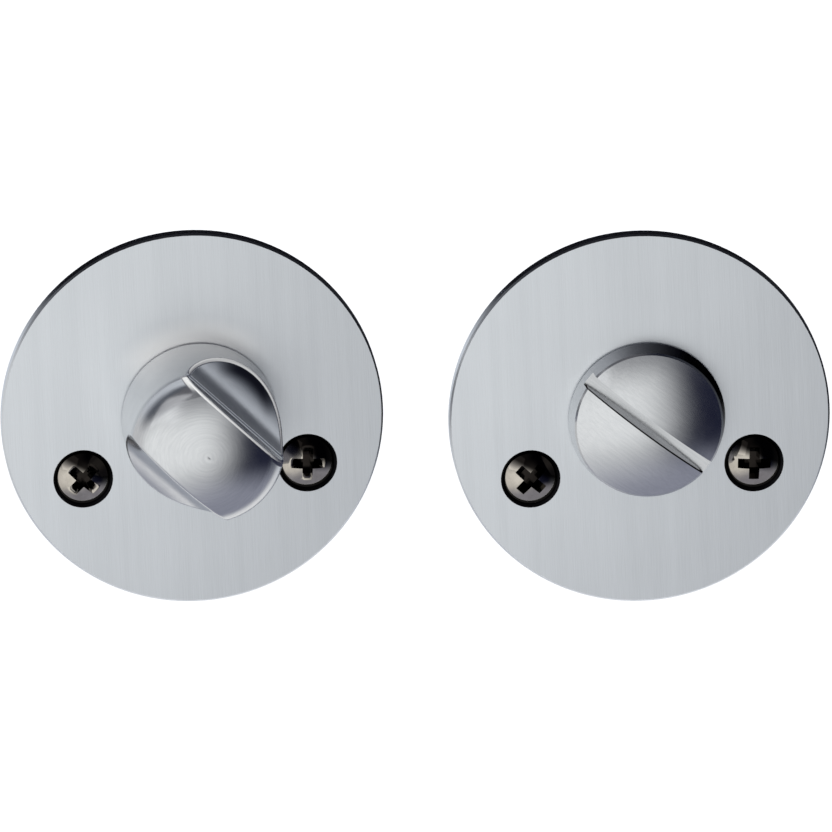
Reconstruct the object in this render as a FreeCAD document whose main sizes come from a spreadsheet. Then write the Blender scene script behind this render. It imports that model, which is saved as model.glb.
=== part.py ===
import FreeCAD, Part
import math
import os
import Sketcher

# Bathroom lock set for a privacy door: the inside half with its thumb turn and spindle, and the
# outside half with its coin release, laid out side by side as a loose pair.
# Millimetres. X is to the right, Z is up, and each half faces -Y. The back of each rose lies on
# y = 0, the plane of the door's face, and what reaches to +Y goes into the door.
# The origin is where the turn's axis meets the back of the inside rose.
SIZES = (
    ("rose_diameter", 51, "round plate, across"),
    ("rose_thickness", 2, "round plate, front to back"),
    ("rose_edge_chamfer", 0.25, "broken front edge of the plate"),
    ("rose_bore", 14, "hole in the plate for the bush"),
    ("axis_offset", 0.9, "from the rose's centre to the turning axis, to the right"),
    ("half_spacing", 59.7, "from the turn's axis to the release's axis, along X"),
    ("release_drop", 4.5, "how much lower the outside half lies in the layout"),
    ("screw_spacing", 30, "between the two fixings of a rose"),
    ("screw_drop", 7.3, "from the rose's centre down to the line of the fixings"),
    ("countersink_diameter", 8, "mouth of the 90 degree countersink"),
    ("fixing_clearance", 0.2, "round a fixing's shank in its hole"),
    ("bolt_diameter", 4, "shank of the inside bolt"),
    ("bolt_reach", 38, "bolt's length behind the rose"),
    ("sleeve_diameter", 6, "shank of the outside sleeve nut"),
    ("sleeve_reach", 24, "sleeve's length behind the rose"),
    ("sleeve_bore", 3.3, "bore of the sleeve, for the bolt's thread"),
    ("sleeve_bore_depth", 20, "depth of the sleeve's bore"),
    ("head_diameter", 6.9, "fixing head, across"),
    ("head_land", 0.2, "straight edge of the fixing head"),
    ("head_rise", 0.85, "height of the raised head's dome"),
    ("head_seat_gap", 0.05, "between the head and its countersink"),
    ("recess_reach", 2.4, "from the middle of the cross recess to the tip of an arm"),
    ("recess_width", 1.4, "width of an arm of the cross at its mouth"),
    ("recess_foot_reach", 1.1, "reach of the cross at its foot"),
    ("recess_foot_width", 0.9, "width of an arm at its foot"),
    ("recess_depth", 2.2, "depth of the cross below the crown of the head"),
    ("fixing_tip_chamfer", 0.5, "chamfer at the free end of a fixing"),
    ("left_recess_angle", 45, "turn of the cross in each left fixing"),
    ("right_recess_angle", 4, "turn of the cross in each right fixing"),
    ("shank_diameter", 11, "shank behind the turn and the release"),
    ("shank_reach", 7, "shank's length behind the rose"),
    ("shank_chamfer", 0.5, "chamfer at the end of the shank"),
    ("running_clearance", 0.05, "between a shank and its bush, on the radius"),
    ("head_gap", 0.15, "between the rose and what turns in front of it"),
    ("bush_clearance", 0.05, "between a bush and its seat in the rose, on the radius"),
    ("bush_flange_diameter", 18, "flange in the back of the rose"),
    ("bush_flange_thickness", 1, "flange, front to back"),
    ("seat_gap", 0.05, "between neighbours in the stack behind the rose"),
    ("washer_clearance", 0.2, "between a shank and its washer or spring, on the radius"),
    ("washer_diameter", 16, "thrust washer, across"),
    ("washer_thickness", 0.5, "thrust washer, front to back"),
    ("disc_spring_diameter", 15.6, "coned spring, across"),
    ("disc_spring_thickness", 0.4, "coned spring's sheet"),
    ("disc_spring_height", 0.9, "coned spring, front to back"),
    ("groove_depth", 0.5, "retaining ring's groove in the shank"),
    ("ring_thickness", 1, "retaining ring, front to back"),
    ("ring_side_gap", 0.05, "between the ring and each side of its groove"),
    ("ring_root_gap", 0.03, "between the ring and the floor of its groove"),
    ("ring_width", 1.6, "retaining ring's band"),
    ("ring_mouth", 2.4, "gap between the ring's ends"),
    ("ring_ear_radius", 1.5, "each ear of the ring"),
    ("ring_eye_diameter", 1.4, "hole in each ear"),
    ("spindle_width", 5, "square spindle, across its flats"),
    ("spindle_gap", 0.05, "between the spindle and its square socket, each side"),
    ("spindle_reach", 62, "spindle's length behind the rose"),
    ("spindle_chamfer", 0.5, "chamfer at the free end of the spindle"),
    ("turn_socket_depth", 12, "square socket in the turn, from the shank's end"),
    ("release_socket_depth", 9, "square socket in the release, from the shank's end"),
    ("pin_diameter", 2, "cross pin through shank and spindle"),
    ("pin_gap", 0.02, "between the cross pin and its hole, on the radius"),
    ("pin_setback", 2.4, "from the shank's end to the cross pin's axis"),
    ("pin_end_gap", 0.3, "how far each end of the cross pin lies inside the shank"),
    ("pin_chamfer", 0.3, "chamfer at each end of the cross pin"),
    ("foot_chamfer", 0.35, "chamfer at the foot of the turn and the release"),
    ("turn_diameter", 20.8, "thumb turn, across its round ends"),
    ("turn_rim_height", 16.2, "from the rose's face to the edge of the turn's dome"),
    ("turn_dome_rise", 2.9, "height of the turn's dome above its edge"),
    ("turn_shoulder_round", 4, "radius where the turn's wall meets its dome"),
    ("grip_waist", 11, "finger grip, across its narrowest place"),
    ("scoop_radius", 13, "radius of the hollow on each side of the grip"),
    ("scoop_height", 15.6, "from the rose's face to the axis of a hollow"),
    ("grip_edge_round", 0.5, "radius along the edges of the hollows"),
    ("turn_rest_angle", 46, "how far the grip is turned clockwise from level at rest"),
    ("release_diameter", 21, "coin release, across its foot"),
    ("release_rim_diameter", 19.9, "coin release, across the edge of its dome"),
    ("release_rim_height", 3.6, "from the rose's face to the edge of the release's dome"),
    ("release_dome_rise", 2, "height of the release's dome above its edge"),
    ("release_rim_chamfer", 0.25, "broken edge where the release's wall meets its dome"),
    ("slot_width", 2, "coin slot, across"),
    ("slot_floor_height", 2, "from the rose's face to the floor of the coin slot"),
    ("release_rest_angle", 41, "how far the slot is turned clockwise from level at rest"),
)

# The two halves, by where the axis of each one lies in the layout.
INSIDE = ("0", "0")
OUTSIDE = ("Sizes.half_spacing", "-Sizes.release_drop")

# Places along Y that several pieces share.
ROSE_FACE = "-Sizes.rose_thickness"
FLANGE_SEAT = "-Sizes.bush_flange_thickness"
HEAD_FOOT = "-(Sizes.rose_thickness + Sizes.head_gap)"
WASHER_FRONT = "Sizes.seat_gap"
SPRING_FRONT = f"({WASHER_FRONT} + Sizes.washer_thickness + Sizes.seat_gap)"
RING_FRONT = f"({SPRING_FRONT} + Sizes.disc_spring_height + Sizes.seat_gap)"
PIN_PLACE = "(Sizes.shank_reach - Sizes.pin_setback)"
SHANK_RADIUS = "Sizes.shank_diameter / 2"
GROOVE_RADIUS = "(Sizes.shank_diameter / 2 - Sizes.groove_depth)"

doc = FreeCAD.newDocument("bathroom_thumb_turn")
sheet = doc.addObject("Spreadsheet::Sheet", "Sizes")


def fill_sheet():
    """One row for each size: its name, its value and what it measures."""
    for row, (alias, size, meaning) in enumerate(SIZES, start=1):
        sheet.set(f"A{row}", alias)
        sheet.set(f"B{row}", str(size))
        sheet.set(f"C{row}", meaning)
        sheet.setAlias(f"B{row}", alias)
    doc.recompute()


def value(expression):
    """The number that an expression on the sheet gives now."""
    return float(sheet.evalExpression(expression))


def new_body(name):
    return doc.addObject("PartDesign::Body", name)


def origin_plane(body, role):
    for feature in body.Origin.OriginFeatures:
        if feature.Role == role:
            return feature
    raise ValueError(f"no plane {role}")


def new_sketch(body, name, role, offset="0"):
    """Sketch on one of the body's own planes, moved along the plane's normal."""
    sketch = body.newObject("Sketcher::SketchObject", name)
    sketch.AttachmentSupport = (origin_plane(body, role), [""])
    sketch.MapMode = "FlatFace"
    sketch.setExpression("AttachmentOffset.Base.z", offset)
    return sketch


def bind(sketch, kind, where, name, expression):
    """Dimension on a sketch that follows an expression on the sheet."""
    index = sketch.addConstraint(Sketcher.Constraint(kind, *where, value(expression)))
    sketch.renameConstraint(index, name)
    sketch.setExpression(f"Constraints.{name}", expression)


def pin_point(sketch, edge, end, name, across, up):
    """Fix a point of the sketch at its distances from the sketch's origin."""
    bind(sketch, "DistanceX", (-1, 1, edge, end), f"{name}_across", across)
    bind(sketch, "DistanceY", (-1, 1, edge, end), f"{name}_up", up)


def add_outline(sketch, corners, domes=()):
    """Closed outline through corners given as expressions.

    An edge whose number is in domes is an arc with its centre on the sketch's vertical axis.
    """
    points = [FreeCAD.Vector(value(across), value(up), 0) for across, up in corners]
    first_edge = sketch.GeometryCount
    starts = []
    ends = []
    for number, point in enumerate(points):
        following = points[(number + 1) % len(points)]
        if number not in domes:
            sketch.addGeometry(Part.LineSegment(point, following))
            starts.append(1)
            ends.append(2)
            continue
        height = (following.Length**2 - point.Length**2) / (2 * (following.y - point.y))
        centre = FreeCAD.Vector(0, height, 0)
        angles = [math.atan2(p.y - height, p.x) for p in (point, following)]
        forwards = (angles[1] - angles[0]) % (2 * math.pi) < math.pi
        if not forwards:
            angles.reverse()
        circle = Part.Circle(centre, FreeCAD.Vector(0, 0, 1), point.distanceToPoint(centre))
        sketch.addGeometry(Part.ArcOfCircle(circle, *angles))
        starts.append(1 if forwards else 2)
        ends.append(2 if forwards else 1)
    for number, (across, up) in enumerate(corners):
        edge = first_edge + number
        before = first_edge + (number - 1) % len(corners)
        meeting = (before, ends[number - 1], edge, starts[number])
        sketch.addConstraint(Sketcher.Constraint("Coincident", *meeting))
        pin_point(sketch, edge, starts[number], f"corner_{edge}", across, up)
    for number in domes:
        edge = first_edge + number
        sketch.addConstraint(Sketcher.Constraint("PointOnObject", edge, 3, -2))


def add_circle(sketch, across, up, radius):
    """Circle placed by expressions."""
    centre = FreeCAD.Vector(value(across), value(up), 0)
    edge = sketch.addGeometry(Part.Circle(centre, FreeCAD.Vector(0, 0, 1), value(radius)))
    pin_point(sketch, edge, 3, f"centre_{edge}", across, up)
    bind(sketch, "Radius", (edge,), f"radius_{edge}", radius)


def revolve(body, name, corners, domes=(), role="XY_Plane", offset="0"):
    """Solid turned about the vertical axis of its sketch."""
    sketch = new_sketch(body, f"{name}_section", role, offset)
    add_outline(sketch, corners, domes)
    turned = body.newObject("PartDesign::Revolution", name)
    turned.Profile = sketch
    turned.ReferenceAxis = (sketch, ["V_Axis"])
    turned.Angle = 360
    doc.recompute()
    return turned


def pad(body, name, sketch, length):
    """Solid raised from a sketch towards the front."""
    raised = body.newObject("PartDesign::Pad", name)
    raised.Profile = sketch
    raised.setExpression("Length", length)
    doc.recompute()
    return raised


def cut(body, name, sketch, length, forwards=False):
    """Pocket: towards the front from the sketch, or else half its length each way.

    The body has to lose some volume, so a pocket that misses it is noticed.
    """
    before = body.Shape.Volume
    pocket = body.newObject("PartDesign::Pocket", name)
    pocket.Profile = sketch
    pocket.Type = "Length"
    pocket.SideType = "One side" if forwards else "Symmetric"
    pocket.Reversed = forwards
    pocket.setExpression("Length", length)
    pocket.Refine = False
    doc.recompute()
    if body.Shape.Volume >= before:
        raise ValueError(f"{name} cuts nothing")
    return pocket


def square(width):
    """Corners of a square about the origin."""
    half = f"{width} / 2"
    minus = f"-{width} / 2"
    return [(minus, minus), (half, minus), (half, half), (minus, half)]


def edge_names(feature, wanted):
    """Names of the feature's edges for which wanted is true."""
    edges = enumerate(feature.Shape.Edges, start=1)
    return [f"Edge{number}" for number, edge in edges if wanted(edge)]


def is_circle(edge, radius, place):
    """True for a full circle of this radius about the Y axis, at this place along it."""
    if edge.Degenerated or not isinstance(edge.Curve, Part.Circle):
        return False
    centre = edge.Curve.Center
    gaps = (edge.Curve.Radius - radius, centre.x, centre.y - place, centre.z)
    return max(abs(gap) for gap in gaps) < 1e-4


def round_edges(body, name, base, names, radius):
    """Rounded edges on the body's last feature."""
    rounded = body.newObject("PartDesign::Fillet", name)
    rounded.Base = (base, names)
    rounded.setExpression("Radius", radius)
    rounded.Refine = False
    doc.recompute()
    return rounded


def place(body, half, across="0", up="0", angle="0"):
    """Put a piece on its half's axis, moved within the door's plane and turned about Y."""
    body.Placement = FreeCAD.Placement(
        FreeCAD.Vector(0, 0, 0), FreeCAD.Rotation(FreeCAD.Vector(0, 1, 0), 1)
    )
    body.setExpression("Placement.Base.x", f"{half[0]} + {across}")
    body.setExpression("Placement.Base.z", f"{half[1]} + {up}")
    body.setExpression("Placement.Rotation.Angle", f"({angle}) * 1 deg")
    doc.recompute()


def build_rose(label, half, fixing_diameter):
    """Turned plate, bored a little off its centre, with two countersunk holes below the middle."""
    body = new_body(label)
    outer = "Sizes.rose_diameter / 2"
    corners = [
        ("0", "0"),
        (outer, "0"),
        (outer, f"{ROSE_FACE} + Sizes.rose_edge_chamfer"),
        (f"{outer} - Sizes.rose_edge_chamfer", ROSE_FACE),
        ("0", ROSE_FACE),
    ]
    revolve(body, f"{label}_plate", corners)
    recess = new_sketch(body, f"{label}_recess_outline", "XZ_Plane")
    recess_radius = "Sizes.bush_flange_diameter / 2 + Sizes.bush_clearance"
    add_circle(recess, "Sizes.axis_offset", "0", recess_radius)
    cut(body, f"{label}_recess", recess, "Sizes.bush_flange_thickness", forwards=True)
    bore = new_sketch(body, f"{label}_bore_outline", "XZ_Plane")
    add_circle(bore, "Sizes.axis_offset", "0", "Sizes.rose_bore / 2")
    cut(body, f"{label}_bore", bore, "2 * Sizes.rose_thickness", forwards=True)
    centres = new_sketch(body, f"{label}_centres", "XZ_Plane", "Sizes.rose_thickness")
    hole_radius = f"{fixing_diameter} / 2 + Sizes.fixing_clearance"
    for side in ("-", ""):
        add_circle(centres, f"{side}Sizes.screw_spacing / 2", "-Sizes.screw_drop", hole_radius)
    doc.recompute()
    before = body.Shape.Volume
    holes = body.newObject("PartDesign::Hole", f"{label}_holes")
    holes.Profile = centres
    holes.DepthType = "ThroughAll"
    holes.setExpression("Diameter", f"2 * ({hole_radius})")
    holes.HoleCutType = "Countersink"
    holes.HoleCutCustomValues = True
    holes.HoleCutCountersinkAngle = 90
    holes.setExpression("HoleCutDiameter", "Sizes.countersink_diameter")
    doc.recompute()
    if body.Shape.Volume >= before:
        raise ValueError(f"{label} has no holes")
    place(body, half, "-Sizes.axis_offset")
    return body


def build_bush(label, half):
    """Plain bearing in the rose's bore, with a flange that is flush with the rose's back."""
    body = new_body(label)
    inner = f"{SHANK_RADIUS} + Sizes.running_clearance"
    barrel = "Sizes.rose_bore / 2 - Sizes.bush_clearance"
    flange = "Sizes.bush_flange_diameter / 2"
    corners = [
        (inner, ROSE_FACE),
        (barrel, ROSE_FACE),
        (barrel, FLANGE_SEAT),
        (flange, FLANGE_SEAT),
        (flange, "0"),
        (inner, "0"),
    ]
    revolve(body, f"{label}_section", corners)
    place(body, half)
    return body


def build_washer(label, half):
    """Flat thrust washer behind the bush."""
    body = new_body(label)
    inner = f"{SHANK_RADIUS} + Sizes.washer_clearance"
    outer = "Sizes.washer_diameter / 2"
    back = f"{WASHER_FRONT} + Sizes.washer_thickness"
    corners = [(inner, WASHER_FRONT), (outer, WASHER_FRONT), (outer, back), (inner, back)]
    revolve(body, f"{label}_section", corners)
    place(body, half)
    return body


def build_disc_spring(label, half):
    """Coned spring washer, narrow end to the ring, which keeps the shank from turning by itself."""
    body = new_body(label)
    inner = f"{SHANK_RADIUS} + Sizes.washer_clearance"
    outer = "Sizes.disc_spring_diameter / 2"
    back = f"({SPRING_FRONT} + Sizes.disc_spring_height)"
    corners = [
        (outer, SPRING_FRONT),
        (outer, f"{SPRING_FRONT} + Sizes.disc_spring_thickness"),
        (inner, back),
        (inner, f"{back} - Sizes.disc_spring_thickness"),
    ]
    revolve(body, f"{label}_section", corners)
    place(body, half)
    return body


def build_retaining_ring(label, half, angle):
    """Open ring that snaps into the shank's groove, with two eared ends for the pliers."""
    body = new_body(label)
    back = f"-({RING_FRONT} + Sizes.ring_thickness)"
    inner = f"({GROOVE_RADIUS} + Sizes.ring_root_gap)"
    ear_place = f"({inner} + Sizes.ring_width)"
    ear_side = "(Sizes.ring_mouth / 2 + Sizes.ring_ear_radius)"
    through = "3 * Sizes.ring_thickness"
    band = new_sketch(body, f"{label}_band_outline", "XZ_Plane", back)
    add_circle(band, "0", "0", f"{inner} + Sizes.ring_width")
    pad(body, f"{label}_band", band, "Sizes.ring_thickness")
    for side, sign in (("left", "-"), ("right", "")):
        ear = new_sketch(body, f"{label}_{side}_ear_outline", "XZ_Plane", back)
        add_circle(ear, f"{sign}{ear_side}", ear_place, "Sizes.ring_ear_radius")
        pad(body, f"{label}_{side}_ear", ear, "Sizes.ring_thickness")
    throat = new_sketch(body, f"{label}_throat", "XZ_Plane", back)
    half_mouth = "Sizes.ring_mouth / 2"
    above = f"{ear_place} + 2 * Sizes.ring_ear_radius"
    add_outline(
        throat,
        [(f"-{half_mouth}", "0"), (half_mouth, "0"), (half_mouth, above), (f"-{half_mouth}", above)],
    )
    cut(body, f"{label}_mouth", throat, through)
    bore = new_sketch(body, f"{label}_bore_outline", "XZ_Plane", back)
    add_circle(bore, "0", "0", inner)
    cut(body, f"{label}_bore", bore, through)
    eyes = new_sketch(body, f"{label}_eye_outline", "XZ_Plane", back)
    for sign in ("-", ""):
        add_circle(eyes, f"{sign}{ear_side}", ear_place, "Sizes.ring_eye_diameter / 2")
    cut(body, f"{label}_eyes", eyes, through)
    place(body, half, angle=angle)
    return body


def shank_corners():
    """Outline of the shank from the foot of its head to its end: groove, chamfer, axis."""
    groove_front = f"{RING_FRONT} - Sizes.ring_side_gap"
    groove_back = f"{RING_FRONT} + Sizes.ring_thickness + Sizes.ring_side_gap"
    end = "Sizes.shank_reach"
    return [
        (SHANK_RADIUS, HEAD_FOOT),
        (SHANK_RADIUS, groove_front),
        (GROOVE_RADIUS, groove_front),
        (GROOVE_RADIUS, groove_back),
        (SHANK_RADIUS, groove_back),
        (SHANK_RADIUS, f"{end} - Sizes.shank_chamfer"),
        (f"{SHANK_RADIUS} - Sizes.shank_chamfer", end),
        ("0", end),
    ]


def foot_corners(foot_radius):
    """Foot of a head, just clear of the rose, with its small chamfer."""
    return [
        (foot_radius, f"{HEAD_FOOT} - Sizes.foot_chamfer"),
        (f"{foot_radius} - Sizes.foot_chamfer", HEAD_FOOT),
    ]


def cut_socket(body, label, depth):
    """Square socket for the spindle, from the end of the shank towards the front."""
    mouth = new_sketch(body, f"{label}_socket_outline", "XZ_Plane", "-Sizes.shank_reach")
    add_outline(mouth, square("(Sizes.spindle_width + 2 * Sizes.spindle_gap)"))
    cut(body, f"{label}_socket", mouth, depth, forwards=True)


def cut_pin_hole(body, label):
    """Cross hole for the pin that fixes the spindle."""
    hole = new_sketch(body, f"{label}_pin_outline", "XY_Plane")
    add_circle(hole, "0", PIN_PLACE, "Sizes.pin_diameter / 2 + Sizes.pin_gap")
    cut(body, f"{label}_pin_hole", hole, "Sizes.shank_diameter + Sizes.pin_diameter")


def build_thumb_turn(label):
    """Turned knob with two long hollows milled into its sides, which leave the finger grip."""
    body = new_body(label)
    radius = "Sizes.turn_diameter / 2"
    rim = "-(Sizes.rose_thickness + Sizes.turn_rim_height)"
    corners = [("0", f"{rim} - Sizes.turn_dome_rise"), (radius, rim)]
    corners += foot_corners(radius) + shank_corners()
    turned = revolve(body, f"{label}_turned", corners, domes=(0,))
    shoulder = edge_names(turned, lambda edge: is_circle(edge, value(radius), value(rim)))
    round_edges(body, f"{label}_shoulder", turned, shoulder, "Sizes.turn_shoulder_round")
    hollows = new_sketch(body, f"{label}_hollow_outline", "YZ_Plane")
    axis_place = "-(Sizes.rose_thickness + Sizes.scoop_height)"
    for sign in ("-", ""):
        axis_side = f"{sign}(Sizes.grip_waist / 2 + Sizes.scoop_radius)"
        add_circle(hollows, axis_place, axis_side, "Sizes.scoop_radius")
    milled = cut(body, f"{label}_hollows", hollows, "Sizes.turn_diameter + Sizes.grip_waist")
    scoop = value("Sizes.scoop_radius")
    names = set()
    for face in milled.Shape.Faces:
        if isinstance(face.Surface, Part.Cylinder) and abs(face.Surface.Radius - scoop) < 1e-6:
            names.update(edge_names(milled, lambda edge: any(edge.isSame(e) for e in face.Edges)))
    round_edges(body, f"{label}_grip_edges", milled, sorted(names), "Sizes.grip_edge_round")
    cut_socket(body, label, "Sizes.turn_socket_depth")
    cut_pin_hole(body, label)
    place(body, INSIDE, angle="Sizes.turn_rest_angle")
    return body


def build_release(label):
    """Low domed disc with a tapered wall and a coin slot right across it."""
    body = new_body(label)
    radius = "Sizes.release_rim_diameter / 2"
    rim = "-(Sizes.rose_thickness + Sizes.release_rim_height)"
    corners = [
        ("0", f"{rim} - Sizes.release_dome_rise"),
        (f"{radius} - Sizes.release_rim_chamfer", rim),
        (radius, f"{rim} + Sizes.release_rim_chamfer"),
    ]
    corners += foot_corners("Sizes.release_diameter / 2") + shank_corners()
    revolve(body, f"{label}_turned", corners, domes=(0,))
    slot = new_sketch(body, f"{label}_slot_outline", "YZ_Plane")
    floor = "-(Sizes.rose_thickness + Sizes.slot_floor_height)"
    above = "-(Sizes.rose_thickness + Sizes.release_rim_height + 2 * Sizes.release_dome_rise)"
    side = "Sizes.slot_width / 2"
    add_outline(slot, [(floor, f"-{side}"), (floor, side), (above, side), (above, f"-{side}")])
    cut(body, f"{label}_slot", slot, "Sizes.release_diameter + Sizes.slot_width")
    cut_socket(body, label, "Sizes.release_socket_depth")
    place(body, OUTSIDE, angle="Sizes.release_rest_angle")
    return body


def build_spindle(label):
    """Square bar from inside the turn's shank out through the door."""
    body = new_body(label)
    outline = new_sketch(body, f"{label}_outline", "XZ_Plane", "-Sizes.spindle_reach")
    add_outline(outline, square("Sizes.spindle_width"))
    hidden = "Sizes.turn_socket_depth - Sizes.shank_reach - Sizes.spindle_gap"
    bar = pad(body, f"{label}_bar", outline, f"Sizes.spindle_reach + {hidden}")
    end = value("Sizes.spindle_reach")
    names = edge_names(bar, lambda edge: abs(edge.BoundBox.YMin - end) < 1e-6)
    bevel = body.newObject("PartDesign::Chamfer", f"{label}_end")
    bevel.Base = (bar, names)
    bevel.setExpression("Size", "Sizes.spindle_chamfer")
    doc.recompute()
    cut_pin_hole(body, label)
    place(body, INSIDE, angle="Sizes.turn_rest_angle")
    return body


def build_spindle_pin(label):
    """Straight pin across the shank, a little shorter than the shank is wide."""
    body = new_body(label)
    radius = "Sizes.pin_diameter / 2"
    end = f"({SHANK_RADIUS} - Sizes.pin_end_gap)"
    corners = [
        ("0", f"-{end}"),
        (f"{radius} - Sizes.pin_chamfer", f"-{end}"),
        (radius, f"-{end} + Sizes.pin_chamfer"),
        (radius, f"{end} - Sizes.pin_chamfer"),
        (f"{radius} - Sizes.pin_chamfer", end),
        ("0", end),
    ]
    revolve(body, f"{label}_section", corners, role="XZ_Plane", offset=f"-{PIN_PLACE}")
    place(body, INSIDE, angle="Sizes.turn_rest_angle")
    return body


def cross_corners(reach, width):
    """Twelve corners of a cross with equal arms."""
    half = f"{width} / 2"
    quarter = [(reach, half), (half, half), (half, reach)]
    corners = []
    for across, up in (("", ""), ("-", ""), ("-", "-"), ("", "-")):
        arm = [(f"{across}{x}", f"{up}{y}") for x, y in quarter]
        if (across, up) in (("-", ""), ("", "-")):
            arm.reverse()
        corners.extend(arm)
    return corners


def build_fixing(name, shank_diameter, reach, half, side, angle):
    """Raised countersunk fixing with a cross recess, seated in its countersink."""
    body = new_body(name)
    head = "Sizes.head_diameter / 2"
    shank = f"{shank_diameter} / 2"
    mouth = f"({ROSE_FACE} + Sizes.countersink_diameter / 2 - Sizes.head_seat_gap)"
    crown = f"({mouth} - {head} - Sizes.head_land - Sizes.head_rise)"
    corners = [
        ("0", crown),
        (head, f"{mouth} - {head} - Sizes.head_land"),
        (head, f"{mouth} - {head}"),
        (shank, f"{mouth} - {shank}"),
        (shank, f"{reach} - Sizes.fixing_tip_chamfer"),
        (f"{shank} - Sizes.fixing_tip_chamfer", reach),
        ("0", reach),
    ]
    revolve(body, f"{name}_turned", corners, domes=(0,))
    mouth_outline = new_sketch(body, f"{name}_recess_mouth", "XZ_Plane", f"-{crown}")
    add_outline(mouth_outline, cross_corners("Sizes.recess_reach", "Sizes.recess_width"))
    foot = f"-({crown} + Sizes.recess_depth)"
    foot_outline = new_sketch(body, f"{name}_recess_foot", "XZ_Plane", foot)
    foot_cross = cross_corners("Sizes.recess_foot_reach", "Sizes.recess_foot_width")
    add_outline(foot_outline, foot_cross)
    before = body.Shape.Volume
    recess = body.newObject("PartDesign::SubtractiveLoft", f"{name}_recess")
    recess.Profile = mouth_outline
    recess.Sections = [foot_outline]
    recess.Ruled = True
    doc.recompute()
    if body.Shape.Volume >= before:
        raise ValueError(f"{name} has no recess")
    across = f"({side}Sizes.screw_spacing / 2 - Sizes.axis_offset)"
    place(body, half, across, "-Sizes.screw_drop", angle)
    return body


def build_fixings(label, shank_diameter, reach, half, bored=False):
    """The two equal fixings of one rose, as one group of separate solids."""
    pair = []
    for side, sign in (("left", "-"), ("right", "")):
        name = f"{label}_{side}"
        angle = f"Sizes.{side}_recess_angle"
        body = build_fixing(name, shank_diameter, reach, half, sign, angle)
        if bored:
            thread = new_sketch(body, f"{name}_bore_outline", "XZ_Plane", f"-{reach}")
            add_circle(thread, "0", "0", "Sizes.sleeve_bore / 2")
            cut(body, f"{name}_bore", thread, "Sizes.sleeve_bore_depth", forwards=True)
        pair.append(body)
    group = doc.addObject("Part::Compound", label)
    group.Links = pair
    doc.recompute()
    return group


def build_all():
    """Every piece of the set, in the order in which it would be put together."""
    fill_sheet()
    return [
        build_rose("inside_rose", INSIDE, "Sizes.bolt_diameter"),
        build_bush("inside_bush", INSIDE),
        build_thumb_turn("thumb_turn"),
        build_washer("inside_washer", INSIDE),
        build_disc_spring("inside_disc_spring", INSIDE),
        build_retaining_ring("inside_retaining_ring", INSIDE, "Sizes.turn_rest_angle"),
        build_spindle("spindle"),
        build_spindle_pin("spindle_pin"),
        build_fixings("inside_bolts", "Sizes.bolt_diameter", "Sizes.bolt_reach", INSIDE),
        build_rose("outside_rose", OUTSIDE, "Sizes.sleeve_diameter"),
        build_bush("outside_bush", OUTSIDE),
        build_release("release"),
        build_washer("outside_washer", OUTSIDE),
        build_disc_spring("outside_disc_spring", OUTSIDE),
        build_retaining_ring("outside_retaining_ring", OUTSIDE, "Sizes.release_rest_angle"),
        build_fixings(
            "outside_sleeves", "Sizes.sleeve_diameter", "Sizes.sleeve_reach", OUTSIDE, bored=True
        ),
    ]


def check_document(pieces):
    """Stop if any object failed, or if a piece has no valid solid."""
    for item in doc.Objects:
        if "Invalid" in item.State or "Error" in item.State:
            raise ValueError(f"{item.Name} failed: {item.State}")
    for piece in pieces:
        shape = piece.Shape
        if shape.isNull() or not shape.isValid() or not shape.Solids:
            raise ValueError(f"{piece.Label} is not a valid solid")


def export_pieces(pieces):
    """One file for each piece, named by its label."""
    os.makedirs("parts", exist_ok=True)
    for piece in pieces:
        piece.Shape.exportStep(f"parts/{piece.Label}.step")
        print(f"{piece.Label}: {len(piece.Shape.Solids)} solids, {piece.Shape.Volume:.2f} mm3")


PIECES = build_all()
doc.recompute()
check_document(PIECES)
export_pieces(PIECES)
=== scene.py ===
import math

import bmesh
import bpy
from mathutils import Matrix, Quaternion, Vector


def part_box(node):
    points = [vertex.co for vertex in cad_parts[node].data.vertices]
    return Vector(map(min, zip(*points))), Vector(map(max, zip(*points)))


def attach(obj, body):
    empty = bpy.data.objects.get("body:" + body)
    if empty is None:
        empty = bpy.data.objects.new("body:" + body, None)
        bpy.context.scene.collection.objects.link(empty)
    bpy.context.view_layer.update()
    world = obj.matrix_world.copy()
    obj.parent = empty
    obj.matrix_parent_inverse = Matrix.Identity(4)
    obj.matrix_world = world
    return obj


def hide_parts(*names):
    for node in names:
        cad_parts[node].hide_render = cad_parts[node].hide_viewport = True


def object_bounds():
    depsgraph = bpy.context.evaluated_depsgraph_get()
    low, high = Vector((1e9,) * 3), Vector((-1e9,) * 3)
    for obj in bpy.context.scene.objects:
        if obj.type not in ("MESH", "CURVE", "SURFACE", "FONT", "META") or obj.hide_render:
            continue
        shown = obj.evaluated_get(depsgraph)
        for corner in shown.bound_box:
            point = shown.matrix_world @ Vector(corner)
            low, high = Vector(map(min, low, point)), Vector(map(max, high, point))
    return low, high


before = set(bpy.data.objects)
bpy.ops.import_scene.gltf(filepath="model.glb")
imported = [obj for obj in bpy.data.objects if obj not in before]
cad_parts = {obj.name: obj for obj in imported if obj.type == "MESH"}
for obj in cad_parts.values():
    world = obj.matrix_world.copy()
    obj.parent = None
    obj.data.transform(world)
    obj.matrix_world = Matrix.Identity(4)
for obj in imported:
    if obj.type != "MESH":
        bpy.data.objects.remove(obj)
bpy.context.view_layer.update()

# Bathroom lock set: an inside rose with its thumb turn and an outside rose with its coin release.
# Metres. Both halves face -Y, Z is up, and the backs of the roses lie on y = 0.
MM = 0.001


def axis_of(node):
    """Where a piece's axis meets the plane of the roses' backs, from the middle of its box."""
    low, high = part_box(node)
    return Vector(((low.x + high.x) / 2, 0, (low.z + high.z) / 2))


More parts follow.
